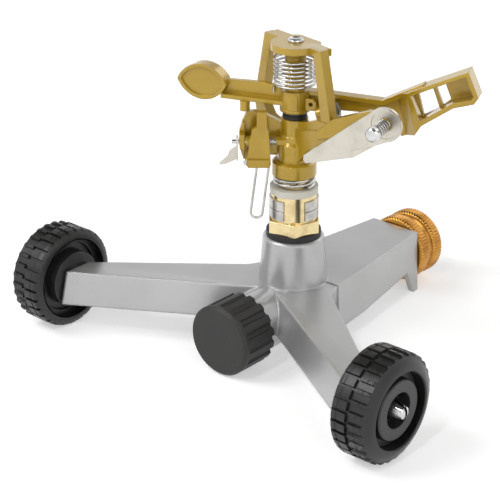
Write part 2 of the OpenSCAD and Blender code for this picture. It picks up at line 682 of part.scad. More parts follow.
module sprinkler_body() color(gold_paint) in_head() difference() {
  union() {
    body_barrel();
    nozzle_web();
    nozzle_boss();
    bridge();
    deflector_strip();
    trip_bracket();
  }
  water_ways();
  // seat of the fulcrum pin in the body and in the bridge
  translate([0, 0, body_top - 6]) cylinder(r = pin_r + fit, h = bridge_rise + 10);
  // hole for the diffuser screw
  rotate([0, 0, deflector_turn]) translate([hole_x, 0, hole_z])
    rod_y(screw_r + fit, pivot_boss_y - cut, strip_y + strip_t + 3);
  // holes for the trip pin
  rotate([0, 0, camera_turn]) translate([0, trip_off, trip_z])
    rod_x(trip_pin_r + run, trip_pin_in - face, trip_pin_out);
  // hole for the stud under the bracket
  rotate([0, 0, camera_turn]) translate([20, -3.4, trip_z - 12 - cut])
    cylinder(r = 1 + fit, h = 4 + cut);
}

module nozzle_insert() color(steel) in_head() translate(nozzle_tip) rotate([0, -nozzle_tilt, 0])
  difference() {
    union() {
      rod_x(insert_r, -5.5, 0.2);
      rod_x(nozzle_boss_r - 0.2, face, 1);
    }
    rod_x(nozzle_bore_r, -6, 2);
  }

module fulcrum_pin() color(steel) in_head() union() {
  translate([0, 0, body_top - 5.9]) cylinder(r = pin_r, h = bridge_top - body_top + 6);
  translate([0, 0, bridge_top + face]) rotate_extrude() polygon([
    [0, 0], [3.4, 0], [3.5, 0.4], [3.2, 1], [2.4, 1.3], [2, 1], [0, 0.9]]);
}

module arm_seat_washer() color(rubber) in_head() translate([0, 0, body_top + face])
  ring(5.4, pin_r + run, seat_washer_h);
module arm_slip_washer() color(pale_plastic) in_head()
  translate([0, 0, body_top + seat_washer_h + 2 * face]) ring(5, pin_r + run, slip_washer_h);

// ---- Impact arm ----

// The leaf's outline: two circles that cross at its tips.
module leaf_outline(inset = 0) {
  leaf_half = 12;
  leaf_rise = 8;
  bow = (leaf_half * leaf_half + leaf_rise * leaf_rise) / (2 * leaf_rise);
  intersection() {
    translate([0, leaf_rise - bow]) circle(r = bow - inset);
    translate([0, bow - leaf_rise]) circle(r = bow - inset);
  }
}

module leaf() translate([-leaf_reach + 12, 0, beam_z + 6.4]) rotate([0, 0, -8]) difference() {
  rotate([90, 0, 0]) linear_extrude(leaf_t, center = true) leaf_outline();
  for (side = [-1, 1]) translate([0, side * leaf_t / 2, 0]) rotate([90, 0, 0])
    linear_extrude(2, center = true) leaf_outline(1.6);
}

module left_beam() {
  upright(2.2, 0) polygon([
    [-3, beam_z], [-3, beam_top - 2], [-14, beam_top], [-leaf_reach + 21, beam_top - 0.4],
    [-leaf_reach + 21, beam_z + 0.6]]);
  upright(6, -1.9) polygon([
    [-3, beam_z], [-3, beam_z + 1.8], [-leaf_reach + 21, beam_z + 2.4],
    [-leaf_reach + 21, beam_z + 0.6]]);
  // striker under the beam, just above the trip bracket
  translate([-21.4, -4.4, bracket_top + 0.6]) cylinder(r = 2.2, h = beam_z - bracket_top);
}

// Side view of the part of the arm in front of the pin.
module spoon_outline() polygon([
  [3, arm_z + 1], [3, arm_z + arm_hub_h], [17.8, arm_z + arm_hub_h - 0.4], [38.6, arm_z + 8.4],
  [spoon_reach - 22.3, arm_z + 17.8], [spoon_reach - 4.8, arm_z + 25.8],
  [spoon_reach, arm_z + 14.9], [spoon_reach - 1.8, arm_z + 12.1],
  [spoon_reach - 10.3, arm_z + 9.5], [spoon_reach - 23.5, arm_z + 0.2],
  [spoon_reach - 26.4, arm_z - 4.6], [spoon_reach - 32.9, arm_z - 7.5],
  [38, arm_z - 2.6], [33, arm_z + 1.4]]);

// Where the spoon's box is open towards the jet.
module spoon_pocket() polygon([
  [spoon_reach - 28.4, arm_z + 12.8], [spoon_reach - 22, arm_z + 16],
  [spoon_reach - 5.8, arm_z + 23.6], [spoon_reach - 2.2, arm_z + 15.2],
  [spoon_reach - 3, arm_z + 13.9], [spoon_reach - 11, arm_z + 11.4],
  [spoon_reach - 24.2, arm_z + 2.2]]);

module spoon_windows() {
  polygon([
    [spoon_reach - 26.6, arm_z + 12.3], [spoon_reach - 20.6, arm_z + 15.4],
    [spoon_reach - 17.3, arm_z + 6.8], [spoon_reach - 24, arm_z + 2.9]]);
  polygon([
    [spoon_reach - 19.2, arm_z + 16], [spoon_reach - 15.3, arm_z + 17.8],
    [spoon_reach - 12.6, arm_z + 11.2], [spoon_reach - 15.9, arm_z + 8.2]]);
}

module right_beam() difference() {
  intersection() {
    upright(4 * spoon_near) spoon_outline();
    union() {
      // back web, thin near the pin
      translate([0, spoon_web_y, arm_z - 30]) cube([spoon_reach, spoon_web_t, 80]);
      // root block that joins the web to the hub
      translate([0, 0, arm_z]) cube([10, spoon_web_y + spoon_web_t, arm_hub_h]);
      // box of the spoon, with a ramp up to its near edge
      translate([spoon_reach - 30.4, 0, arm_z + 14]) rotate([0, -14, 0])
        translate([0, 0, -40]) linear_extrude(80) polygon([
          [-6, spoon_web_y + 0.2], [0, -spoon_near], [60, -spoon_near],
          [60, spoon_web_y + spoon_web_t + 0.4], [-6, spoon_web_y + spoon_web_t + 0.4]]);
    }
  }
  translate([0, -spoon_near - cut, 0])
    upright(2 * (spoon_near + spoon_web_y + spoon_web_t - spoon_wall + cut)) spoon_pocket();
  upright(6 * spoon_near) spoon_windows();
}

module top_flange() intersection() {
  upright(5.2, 1.6) polygon([
    [3, arm_z + 7.4], [3, arm_z + arm_hub_h], [17.8, arm_z + arm_hub_h - 0.4],
    [38.6, arm_z + 8.4], [spoon_reach - 24, arm_z + 17.6], [spoon_reach - 24, arm_z + 15.4],
    [39, arm_z + 6.2], [17.8, arm_z + 7.2]]);
  translate([0, -0.6, 0]) cube([spoon_reach, spoon_web_y + spoon_web_t + 0.6, 400]);
}

module impact_arm() color(gold_paint) in_arm() difference() {
  union() {
    translate([0, 0, arm_z]) cylinder(r = arm_hub_r, h = arm_hub_h);
    translate([0, 0, arm_z]) cylinder(r = arm_hub_r + 0.5, h = 1.3);
    translate([0, 0, arm_z]) cylinder(r = arm_sleeve_r, h = pivot_tube_z - clear - arm_z);
    for (i = [0 : 5]) rotate([0, 0, 60 * i - 70]) translate([arm_hub_r - 1, -0.6, arm_z + 0.6])
      cube([1.3, 1.2, arm_hub_h - 1.6]);
    left_beam();
    leaf();
    right_beam();
    top_flange();
    // small eye beside the hub
    upright(2.4, -1.6) polygon([
      [3, arm_z + 1.2], [3, arm_z + 6.6], [8.6, arm_z + 6.6], [10.4, arm_z + 4.6], [9.6, arm_z + 1.2]]);
  }
  translate([0, 0, arm_z - cut]) cylinder(r = pin_r + run, h = 40);
  translate([7.8, 0, arm_z + 3.9]) rod_y(0.9, -4, 2);
}

module arm_spring() color(steel) in_arm() {
  start = spring_end_turn - arm_turn;
  turns_h = coil_top - coil_z;
  body = coil(arm_coil_r, coil_z, turns_h, arm_coil_turns, 20, start);
  low = body[0];
  high = body[len(body) - 1];
  // the lower end drops in front of the beam, the upper one rises beside the bridge's lug
  wire(concat([[low[0] - 0.6, low[1] + 1.2, coil_z - 4.4], [low[0] - 0.5, low[1] + 1, coil_z - 1.8]],
              body,
              [[high[0] + 0.2, high[1] - 0.2, coil_top + 1], [high[0] + 0.3, high[1] - 0.2, coil_top + 2.2]]),
       arm_wire_d / 2, 8, [0, 0.02, 1]);
}

// ---- Deflector ----

module deflector_plate() color(steel) in_deflector() {
  mid_y = -deflector_off;
  difference() {
    union() {
      upright(deflector_t, mid_y) polygon([
        [12.4, skirt_z + 11.8], [11.2, skirt_z + 13.4], [11.4, skirt_z + 15.4],
        [43.2, hole_z + 5.6], [hole_x, hole_z + 6], [hole_x + 4, hole_z - 6.2],
        [43.9, hole_z - 10], [34.4, hole_z - 16.8]]);
      translate([hole_x, 0, hole_z])
        rod_y(deflector_end_r, mid_y - deflector_t / 2, mid_y + deflector_t / 2);
    }
    translate([hole_x, 0, hole_z]) rod_y(pivot_boss_r + run, mid_y - cut, mid_y + cut);
  }
  // raised rim round the pivot
  translate([hole_x, 0, hole_z]) difference() {
    rod_y(deflector_end_r - 0.5, mid_y - deflector_t / 2 - 0.4, mid_y);
    rod_y(deflector_end_r - 1.4, mid_y - 2 * deflector_t, mid_y - deflector_t / 2);
    rod_y(pivot_boss_r + run, mid_y - 2 * deflector_t, mid_y + cut);
  }
  // finger tab folded up along the lower edge
  upright(0.7, mid_y - deflector_t / 2 - 0.2) polygon([
    [33.5, hole_z - 13.7], [43.6, hole_z - 10.3], [36, hole_z - 15.6], [34.4, hole_z - 16.4]]);
}

module on_screw() in_deflector() translate([hole_x, 0, hole_z]) children();

module diffuser_screw() color(steel) on_screw() {
  under_head = pivot_boss_y - screw_spring_len - 2 * face - screw_washer_h;
  rod_y(screw_r, under_head - cut, strip_y + strip_t + screw_tip);
  translate([0, under_head, 0]) rotate([90, 0, 0]) rotate_extrude() polygon([
    [0, 0], [screw_head_r, 0], [screw_head_r, screw_head_h - 0.9],
    [screw_head_r - 0.8, screw_head_h - 0.1], [0, screw_head_h]]);
}

module screw_washer() color(steel) on_screw() translate([0, pivot_boss_y - screw_spring_len - face, 0])
  rotate([90, 0, 0]) ring(screw_head_r, screw_r + run, screw_washer_h);

module screw_spring() color(steel) on_screw() rotate([90, 0, 0])
  wire(coil(2.6, -pivot_boss_y + 0.5, screw_spring_len - 1, 5, 16), 0.42, 6);

// ---- Trip ----

module trip_lever() color(gold_paint) in_trip() difference() {
  union() {
    // paddle with its neck
    upright(paddle_t, wire_y) polygon([
      [12.2, lever_top_z], [16.6, lever_top_z], [16.6, trip_z + 8], [18.8, trip_z + 6.4],
      [21.2, lever_foot_z + 1.6], [20.4, lever_foot_z], [11, lever_foot_z],
      [10.4, lever_foot_z + 1.6], [11.4, trip_z + 6.4], [12.2, trip_z + 8]]);
    // thicker lip at its foot
    upright(1.6, paddle_y + paddle_t + 0.5) polygon([
      [20.8, lever_foot_z + 4], [20.4, lever_foot_z + 0.4], [11.2, lever_foot_z + 0.4],
      [10.8, lever_foot_z + 4]]);
    // hub on the pin
    translate([0, trip_off, trip_z]) rod_x(2.4, 11.8, 21.4);
  }
  translate([0, trip_off, trip_z]) rod_x(trip_pin_r + fit, 11, 22);
  // sockets for the ends of the trip wire
  for (x = [wire_top_x, wire_top_x + wire_gap]) translate([x, wire_y, lever_foot_z - cut])
    cylinder(r = trip_wire_d / 2 + fit, h = wire_top_z - lever_foot_z + cut);
}

module trip_pin() color(steel) in_trip() translate([0, trip_off, trip_z])
  rod_x(trip_pin_r, trip_pin_in, trip_pin_out);

// Both legs of the hairpin lean outwards on their way down to the round end.
module trip_wire() color(steel) in_trip() {
  r = wire_gap / 2;
  bow_z = wire_low + r;
  foot_z = lever_foot_z - 0.4;
  mid = wire_top_x + r + wire_lean;
  round_end = [for (a = [0 : 15 : 180]) [mid + r * cos(a), wire_y, bow_z - r * sin(a)]];
  wire(concat([[wire_top_x + wire_gap, wire_y, wire_top_z - 0.2], [wire_top_x + wire_gap, wire_y, foot_z]],
              round_end,
              [[wire_top_x, wire_y, foot_z], [wire_top_x, wire_y, wire_top_z - 0.2]]),
       trip_wire_d / 2, 10, [0, 1, 0]);
}

// A folded steel plate on the outer end of the pin.
module trip_finger() color(steel) in_trip() difference() {
  union() {
    translate([cheek_x + cheek_t + clear + 0.1, trip_off - 2, trip_z - 8.4]) cube([0.8, 3.6, 10.6]);
    upright(0.8, trip_off - 1.6) polygon([
      [24.8, trip_z - 2.4], [28.3, trip_z - 4.6], [29.4, trip_z - 7.4], [33, trip_z - 10.6],
      [32.6, trip_z - 11.4], [29.6, trip_z - 10.8], [24.8, trip_z - 8.4]]);
  }
  translate([0, trip_off, trip_z]) rod_x(trip_pin_r + fit, 24, 27);
}

module trip_spring() color(steel) in_trip() translate([0, trip_off, trip_z]) rotate([0, 90, 0])
  wire(coil(1.5, 8.65, 2.7, 3, 14), 0.32, 6);

module bracket_stud() color(steel) in_trip() translate([20, -3.4, trip_z - 12 - face]) union() {
  cylinder(r = 1, h = 3.6);
  rotate_extrude() polygon([[0, 0], [2.7, 0], [2.7, -0.6], [1.9, -1.4], [0, -1.7]]);
}

base_casting();
left_tyre();
right_tyre();
left_wheel_hub();
right_wheel_hub();
left_axle_pin();
right_axle_pin();
left_axle_washer();
right_axle_washer();
outlet_cap();
outlet_seal();
inlet_tailpiece();
inlet_coupling();
hose_washer();
base_gasket();
bearing_sleeve();
lower_trip_collar();
upper_trip_collar();
bearing_nipple();
nipple_seal_washer();
bearing_washer();
bearing_spring();
sprinkler_body();
nozzle_insert();
fulcrum_pin();
arm_seat_washer();
arm_slip_washer();
impact_arm();
arm_spring();
deflector_plate();
diffuser_screw();
screw_washer();
screw_spring();
trip_lever();
trip_pin();
trip_wire();
trip_finger();
trip_spring();
bracket_stud();
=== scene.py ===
"""Looks of an impact sprinkler on a wheeled base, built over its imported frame.

Every piece keeps the frame's own coordinates, in metres. The tyres and the knurled coupling are worked out as
grids of points. Every other piece is a joined-up copy of its frame node with bevelled edges.
"""

import json
import logging
import math
from dataclasses import dataclass
from enum import Enum, IntEnum
from typing import Dict, List, Optional, Sequence, Tuple, Union

import bmesh
import bpy
import numpy as np
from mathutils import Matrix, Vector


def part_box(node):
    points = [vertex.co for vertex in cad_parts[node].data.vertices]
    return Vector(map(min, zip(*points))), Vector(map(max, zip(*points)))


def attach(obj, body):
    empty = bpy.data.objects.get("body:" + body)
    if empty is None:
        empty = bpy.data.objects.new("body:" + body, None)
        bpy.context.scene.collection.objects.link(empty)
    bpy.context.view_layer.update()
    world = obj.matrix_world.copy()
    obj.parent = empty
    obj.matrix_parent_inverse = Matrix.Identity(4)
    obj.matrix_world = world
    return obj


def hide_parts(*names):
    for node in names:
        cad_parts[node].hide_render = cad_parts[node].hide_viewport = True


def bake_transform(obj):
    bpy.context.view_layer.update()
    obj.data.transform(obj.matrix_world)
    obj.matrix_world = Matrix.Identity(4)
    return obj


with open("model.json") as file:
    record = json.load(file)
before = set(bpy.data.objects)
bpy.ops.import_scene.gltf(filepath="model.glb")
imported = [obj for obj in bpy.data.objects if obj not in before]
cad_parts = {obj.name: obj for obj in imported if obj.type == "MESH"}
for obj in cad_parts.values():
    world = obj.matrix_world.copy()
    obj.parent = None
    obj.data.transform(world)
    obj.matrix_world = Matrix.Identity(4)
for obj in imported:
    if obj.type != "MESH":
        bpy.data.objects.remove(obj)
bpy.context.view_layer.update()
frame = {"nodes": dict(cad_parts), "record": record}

LOG = logging.getLogger("sprinkler")
MM = 0.001
BEVEL_SAMPLES = 6
MERGE_DISTANCE = 2e-6
Colour = Tuple[float, float, float]


class Side(Enum):
    """Which wheel of the pair, as the sign of its X."""

    LEFT = -1
    RIGHT = 1


class Row(IntEnum):
    """Which row of lugs a point of the tyre's cross-section belongs to."""

    NONE = 0
    INNER = 1
    OUTER = 2


# ---------------------------------------------------------------- shader graph


class Value:
    """A number or colour socket in a node tree, which arithmetic turns into Math nodes."""

    def __init__(self, graph: "Graph", socket: bpy.types.NodeSocket) -> None:
        """Keep the tree and the socket that this value comes out of."""
        self.graph = graph
        self.socket = socket

    def _join(self, operation: str, first: object, second: object) -> "Value":
        """Add one Math node.

        Args:
            operation: The Math node's operation.
            first: Its first value or number.
            second: Its second value or number.

        Returns:
            The node's result.
        """
        node = self.graph.node("ShaderNodeMath", {"operation": operation}, {0: first, 1: second})
        return Value(self.graph, node.outputs[0])

    def __add__(self, other: object) -> "Value":
        """Sum."""
        return self._join("ADD", self, other)

    def __radd__(self, other: object) -> "Value":
        """Sum with a number in front."""
        return self._join("ADD", other, self)

    def __sub__(self, other: object) -> "Value":
        """Difference."""
        return self._join("SUBTRACT", self, other)

    def __rsub__(self, other: object) -> "Value":
        """Difference from a number in front."""
        return self._join("SUBTRACT", other, self)

    def __mul__(self, other: object) -> "Value":
        """Product."""
        return self._join("MULTIPLY", self, other)

    def __rmul__(self, other: object) -> "Value":
        """Product with a number in front."""
        return self._join("MULTIPLY", other, self)


class Graph:
    """The node tree of one material or of the world."""

    def __init__(self, owner: Union[bpy.types.Material, bpy.types.World]) -> None:
        """Empty the tree of a material or world.

        Args:
            owner: What the tree belongs to.
        """
        self.owner = owner
        owner.use_nodes = True
        self.tree = owner.node_tree
        self.tree.nodes.clear()

    @classmethod
    def material(cls, name: str) -> "Graph":
        """Start a new material.

        Args:
            name: The material's name.

        Returns:
            Its empty tree.
        """
        return cls(bpy.data.materials.new(name))

    def node(self, kind: str, settings: Optional[Dict[str, object]] = None,
             values: Optional[Dict[object, object]] = None) -> bpy.types.Node:
        """Add a node of any type.

        Args:
            kind: The node's type.
            settings: Its properties, set first.
            values: Its sockets by name or number, each a Value or a constant.

        Returns:
            The new node.
        """
        made = self.tree.nodes.new(kind)
        for key, setting in (settings or {}).items():
            setattr(made, key, setting)
        for key, value in (values or {}).items():
            if isinstance(value, Value):
                self.tree.links.new(value.socket, made.inputs[key])
            else:
                made.inputs[key].default_value = value
        return made

    def get(self, kind: str, output: Union[int, str] = 0, settings: Optional[Dict[str, object]] = None,
            values: Optional[Dict[object, object]] = None) -> Value:
        """Add a node and take one of its outputs.

        Args:
            kind: The node's type.
            output: The output's number or name.
            settings: The node's properties.
            values: Its sockets by name or number.

        Returns:
            The output.
        """
        return Value(self, self.node(kind, settings, values).outputs[output])

    def place(self, stretch: Tuple[float, float, float] = (1.0, 1.0, 1.0)) -> Value:
        """Object coordinates, stretched along the axes.

        Args:
            stretch: The factor along X, Y and Z.

        Returns:
            The coordinates.
        """
        where = self.get("ShaderNodeTexCoord", "Object")
        return self.get("ShaderNodeMapping", 0, None, {"Vector": where, "Scale": stretch})

    def noise(self, where: Value, scale: float, detail: float = 3.0, roughness: float = 0.5) -> Value:
        """Smooth noise from 0 to 1.

        Args:
            where: The coordinates.
            scale: Features per metre.
            detail: Octaves.
            roughness: Strength of the finer octaves.

        Returns:
            The noise.
        """
        return self.get("ShaderNodeTexNoise", 0, None, {"Vector": where, "Scale": scale, "Detail": detail,
                                                        "Roughness": roughness})

    def blend(self, factor: Value, first: Colour, second: Colour) -> Value:
        """Mix two colours.

        Args:
            factor: 0 gives the first and 1 the second.
            first: The first colour.
            second: The second colour.

        Returns:
            The mixed colour.
        """
        return self.get("ShaderNodeMix", 2, {"data_type": "RGBA"},
                        {0: factor, 6: (*first, 1.0), 7: (*second, 1.0)})

    def clamp(self, value: Value, low: float, high: float) -> Value:
        """Map low..high of a value to 0..1, smoothly, and hold it there.

        Args:
            value: The value.
            low: What becomes 0.
            high: What becomes 1.

        Returns:
            The mapped value.
        """
        return self.get("ShaderNodeMapRange", 0, {"interpolation_type": "SMOOTHSTEP"},
                        {0: value, 1: low, 2: high, 3: 0.0, 4: 1.0})

    def bump(self, height: Value, strength: float, distance: float, rounding: float = 0.0) -> Value:
        """A bump from a height, over a normal that turns gently round the edges.

        Args:
            height: The height from 0 to 1.
            strength: How strongly it shows.
            distance: The height in metres.
            rounding: The radius in metres that edges seem to have; 0 leaves them as they are.

        Returns:
            The bent normal.
        """
        values: Dict[object, object] = {"Height": height, "Strength": strength, "Distance": distance}
        if rounding:
            values["Normal"] = self.get("ShaderNodeBevel", 0, {"samples": BEVEL_SAMPLES},
                                        {"Radius": rounding})
        return self.get("ShaderNodeBump", 0, None, values)

    def surface(self, values: Dict[object, object]) -> bpy.types.Material:
        """End the tree in one Principled shader.

        Args:
            values: The shader's sockets.

        Returns:
            The finished material.
        """
        shader = self.get("ShaderNodeBsdfPrincipled", 0, None, values)
        self.node("ShaderNodeOutputMaterial", None, {0: shader})
        return self.owner

    def seen(self) -> Value:
        """1 on camera, glossy and transmission rays, so that mirrors and glass show what the camera sees."""
        path = self.node("ShaderNodeLightPath").outputs
        total = Value(self, path["Is Camera Ray"]) + Value(self, path["Is Glossy Ray"])
        return total + Value(self, path["Is Transmission Ray"])


@dataclass(frozen=True)
class SprayedPaint:
    """Metallic paint on a casting: fine flake, a slight orange peel and faintly uneven colour.

    The colour goes from shade to colour with the flake and a slow cloud. The roughness rises with the flake, by
    the share flake. Scales are in features per metre, and rounding is the radius in metres that edges seem to
    have.
    """

    name: str
    colour: Colour
    shade: Colour
    metallic: float
    roughness: float
    flake: float = 0.12
    peel: float = 0.12
    lacquer: float = 0.3
    lacquer_roughness: float = 0.12
    rounding: float = 0.0006
    flake_scale: float = 5200.0
    cloud_scale: float = 38.0
    peel_scale: float = 900.0
    peel_height: float = 0.0002

    def build(self) -> bpy.types.Material:
        """Make the material.

        Returns:
            The paint.
        """
        g = Graph.material(self.name)
        where = g.place()
        flake = g.noise(where, self.flake_scale, 1.0)
        cloud = g.noise(where, self.cloud_scale, 3.0)
        orange = g.noise(where, self.peel_scale, 2.0)
        tone = cloud * 0.55 + flake * 0.45
        rough = self.roughness + (flake - 0.5) * self.flake + (cloud - 0.5) * 0.08
        return g.surface({"Base Color": g.blend(g.clamp(tone, 0.32, 0.68), self.shade, self.colour),
                          "Metallic": self.metallic, "Roughness": rough, "Coat Weight": self.lacquer,
                          "Coat Roughness": self.lacquer_roughness,
                          "Normal": g.bump(orange, self.peel, self.peel_height, self.rounding)})


@dataclass(frozen=True)
class MouldedPlastic:
    """Moulded plastic: a fine texture, faint scuffs and uneven gloss.

    Scratches and a slow cloud add up to the wear, which blends in the scuff colour. Scales are in features per
    metre.
    """

    name: str
    colour: Colour
    scuff: Colour
    roughness: float
    grain: float = 0.25
    grain_scale: float = 2600.0
    grain_height: float = 0.00015
    cloud_scale: float = 60.0
    scratch_scale: float = 210.0
    scratch_stretch: Tuple[float, float, float] = (1.0, 1.0, 9.0)

    def build(self) -> bpy.types.Material:
        """Make the material.

        Returns:
            The plastic.
        """
        g = Graph.material(self.name)
        where = g.place()
        grain = g.noise(where, self.grain_scale, 2.0)
        cloud = g.noise(where, self.cloud_scale, 4.0, 0.6)
        scratch = g.noise(g.place(self.scratch_stretch), self.scratch_scale, 4.0, 0.65)
        worn = g.clamp(scratch, 0.56, 0.78) * 0.5 + g.clamp(cloud, 0.5, 0.8) * 0.3
        return g.surface({"Base Color": g.blend(worn, self.colour, self.scuff),
                          "Roughness": self.roughness + (cloud - 0.5) * 0.18 + worn * 0.06,
                          "Normal": g.bump(grain, self.grain, self.grain_height)})


@dataclass(frozen=True)
class BareMetal:
    """Bright bare metal: turning marks along one axis, cloudy gloss and a little tarnish.

    The marks are noise squeezed by turning along X, Y and Z. Scales are in features per metre.
    """

    name: str
    colour: Colour
    tarnish: Colour
    roughness: float
    turning: Tuple[float, float, float] = (0.05, 0.05, 1.0)
    marks: float = 0.2
    mark_scale: float = 5200.0
    mark_height: float = 0.00008
    cloud_scale: float = 120.0

    def build(self) -> bpy.types.Material:
        """Make the material.

        Returns:
            The metal.
        """
        g = Graph.material(self.name)
        lines = g.noise(g.place(self.turning), self.mark_scale, 2.0)
        cloud = g.noise(g.place(), self.cloud_scale, 3.0, 0.6)
        return g.surface({"Base Color": g.blend(g.clamp(cloud, 0.42, 0.75), self.colour, self.tarnish),
                          "Metallic": 1.0, "Roughness": self.roughness + (cloud - 0.5) * 0.16,
                          "Normal": g.bump(lines, self.marks, self.mark_height)})


EVEN = (1.0, 1.0, 1.0)


class Finish(Enum):
    """Every finish of the sprinkler, by the record's slot."""

    base_paint = SprayedPaint("silver_casting_paint", (0.50, 0.503, 0.502), (0.42, 0.423, 0.421),
                              metallic=0.60, roughness=0.32, rounding=0.0015)
    gold_paint = SprayedPaint("gold_casting_paint", (0.47, 0.305, 0.012), (0.38, 0.235, 0.009),
                              metallic=0.30, roughness=0.24, flake=0.08, peel=0.08, lacquer=0.6)
    wheel_black = MouldedPlastic("black_wheel_plastic", (0.009, 0.0087, 0.0080), (0.028, 0.027, 0.025), 0.36)
    wheel_hub_black = MouldedPlastic("black_hub_plastic", (0.022, 0.021, 0.021), (0.05, 0.048, 0.048), 0.36)
    cap_black = MouldedPlastic("black_cap_plastic", (0.019, 0.0185, 0.0175), (0.05, 0.048, 0.046), 0.55, 0.4)
    riser_brass = BareMetal("riser_brass", (0.78, 0.64, 0.36), (0.56, 0.44, 0.23), 0.17)
    coupling_brass = BareMetal("coupling_brass", (0.58, 0.29, 0.062), (0.36, 0.16, 0.030), 0.28, EVEN)
    seal_rubber = MouldedPlastic("seal_rubber", (0.012, 0.012, 0.012), (0.03, 0.03, 0.03), 0.6)
    bright_steel = BareMetal("bright_steel", (0.66, 0.66, 0.66), (0.50, 0.50, 0.50), 0.18, EVEN)
    spring_steel = BareMetal("spring_steel", (0.56, 0.545, 0.52), (0.36, 0.35, 0.33), 0.24, EVEN)
    satin_steel = BareMetal("satin_steel", (0.60, 0.565, 0.50), (0.50, 0.47, 0.41), 0.34, (1.0, 1.0, 0.05))
    nozzle_grey = MouldedPlastic("nozzle_grey", (0.30, 0.30, 0.29), (0.40, 0.40, 0.39), 0.35)
    pale_nylon = MouldedPlastic("pale_nylon", (0.66, 0.64, 0.56), (0.58, 0.56, 0.48), 0.4)
    dark_nylon = MouldedPlastic("dark_nylon", (0.03, 0.028, 0.025), (0.06, 0.056, 0.05), 0.45)


# ---------------------------------------------------------------- making pieces


@dataclass(frozen=True)
class Rounding:
    """How a copy of a frame node is joined up and smoothed.

    bevel is the greatest width of its rounded edges in mm, which its small edges limit, and 0 leaves them sharp;
    segments is the number of steps across one. Faces that differ by less than flat degrees become one. Edges
    sharper than smooth degrees are rounded or stay sharp.
    """

    bevel: float = 0.5
    segments: int = 3
    flat: float = 1.0
    smooth: float = 35.0


WIRE = Rounding(bevel=0.0, segments=1, flat=0.1, smooth=70.0)
THIN = Rounding(bevel=0.15, segments=2)
CRISP = Rounding(bevel=0.15, segments=1)
SLIM = Rounding(bevel=0.1, segments=1)
CASTING_SMOOTH = 24.0


def shade(work: bmesh.types.BMesh, smooth: float) -> None:
    """Shade a mesh smoothly, apart from its sharp edges.

    Args:
        work: The mesh.
        smooth: Edges sharper than this angle in degrees stay sharp.
    """
    limit = math.radians(smooth)
    for face in work.faces:
        face.smooth = True
    for edge in work.edges:
        edge.smooth = not (edge.is_manifold and edge.calc_face_angle() > limit)


class Workshop:
    """Makes the pieces and gives each its finish."""

    def __init__(self) -> None:
        """Build every finish once, and read which slot and body each node has."""
        self.finishes = {finish.name: finish.value.build() for finish in Finish}
        record = frame["record"]
        self.slot_of = {entry["node"]: entry["material_slot"] for entry in record["subparts"]}
        self.body_of = {node: body for body, nodes in record["behaviour"]["bodies"].items() for node in nodes}

    def finish(self, node: str) -> bpy.types.Material:
        """The finish of a node's slot."""
        return self.finishes[self.slot_of[node]]

    def register(self, name: str, mesh: bpy.types.Mesh, nodes: Sequence[str],
                 rides: bool = True) -> bpy.types.Object:
        """Put a new mesh into the scene in place of frame nodes.

        Args:
            name: The piece's name.
            mesh: Its mesh, in the frame's coordinates.
            nodes: The nodes that it stands for, all on one body.
            rides: Whether it moves with their body; a piece that is blended between bodies doesn't.

        Returns:
            The piece.
        """
        piece = bpy.data.objects.new(name, mesh)
        bpy.context.scene.collection.objects.link(piece)
        if not mesh.materials:
            mesh.materials.append(self.finish(nodes[0]))
        if rides:
            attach(piece, self.body_of[nodes[0]])
        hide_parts(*nodes)
        LOG.info("%s: %d faces, stands for %s", name, len(mesh.polygons), ", ".join(nodes))
        return piece

    def refine(self, node: str, rounding: Rounding = THIN, rides: bool = True) -> bpy.types.Object:
        """A copy of a frame node with its triangles joined up, its edges rounded and its curves smooth.

        Args:
            node: The frame node.
            rounding: How it is joined up and smoothed.
            rides: Whether it moves with the node's body.

        Returns:
            The piece.
        """
        mesh = frame["nodes"][node].data.copy()
        mesh.name = node + "_finished"
        work = bmesh.new()
        work.from_mesh(mesh)
        bmesh.ops.remove_doubles(work, verts=work.verts, dist=MERGE_DISTANCE)
        bmesh.ops.dissolve_limit(work, angle_limit=math.radians(rounding.flat), verts=work.verts,
                                 edges=work.edges)
        shade(work, rounding.smooth)
        work.to_mesh(mesh)
        work.free()
        mesh.materials.clear()
        piece = self.register(node + "_finished", mesh, [node], rides)
        if rounding.bevel:
            edges = piece.modifiers.new("rounded_edges", "BEVEL")
            edges.width = rounding.bevel * MM
            edges.segments = rounding.segments
            edges.limit_method = "ANGLE"
            edges.angle_limit = math.radians(rounding.smooth)
            edges.harden_normals = True
            edges.use_clamp_overlap = True
            edges.miter_outer = "MITER_ARC"
        return piece

    def spring(self, node: str, joint: str, toward: str) -> bpy.types.Object:
        """A coil spring, as a still copy of its frame node that rides on neither body of its joint.

        The joint's axis is read and turned toward the moving end, but nothing uses it.

        Args:
            node: The spring's frame node.
            joint: The joint that works it.
            toward: A node beyond the moving end.

        Returns:
            The piece.
        """
        piece = self.refine(node, WIRE, False)
        entry = next(each for each in frame["record"]["behaviour"]["joints"] if each["name"] == joint)
        axis = np.array(entry["axis"], float)
        axis /= np.linalg.norm(axis)
        points = np.array([vertex.co for vertex in piece.data.vertices])
        middle = points.mean(axis=0)
        if (np.mean(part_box(toward), axis=0) - middle) @ axis < 0:
            axis = -axis
        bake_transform(piece)
        return piece


